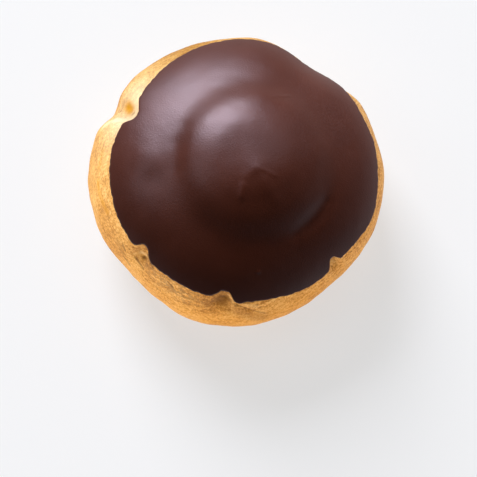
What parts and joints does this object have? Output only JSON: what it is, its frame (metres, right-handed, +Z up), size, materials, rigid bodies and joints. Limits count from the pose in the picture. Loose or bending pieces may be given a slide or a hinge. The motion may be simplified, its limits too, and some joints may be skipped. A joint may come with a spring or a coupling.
{
  "type": "cream puff",
  "caption": "Round choux bun with a low second mound on top, dented sides and a flat base, under a cap of dark chocolate icing with a notched edge.",
  "frame": {"origin": "centre of the flat base, where the bun rests", "axes": "+Z up, -Y towards the front, +X to the right seen from the front"},
  "size_m": [0.0896, 0.0885, 0.0544],
  "materials": {
    "baked_choux": "golden baked choux pastry, matt to satin, finely creased",
    "dark_chocolate": "satin dark chocolate icing"
  },
  "bodies": {
    "root": {"choux_bun": "baked_choux", "chocolate_icing": "dark_chocolate"}
  },
  "joints": []
}
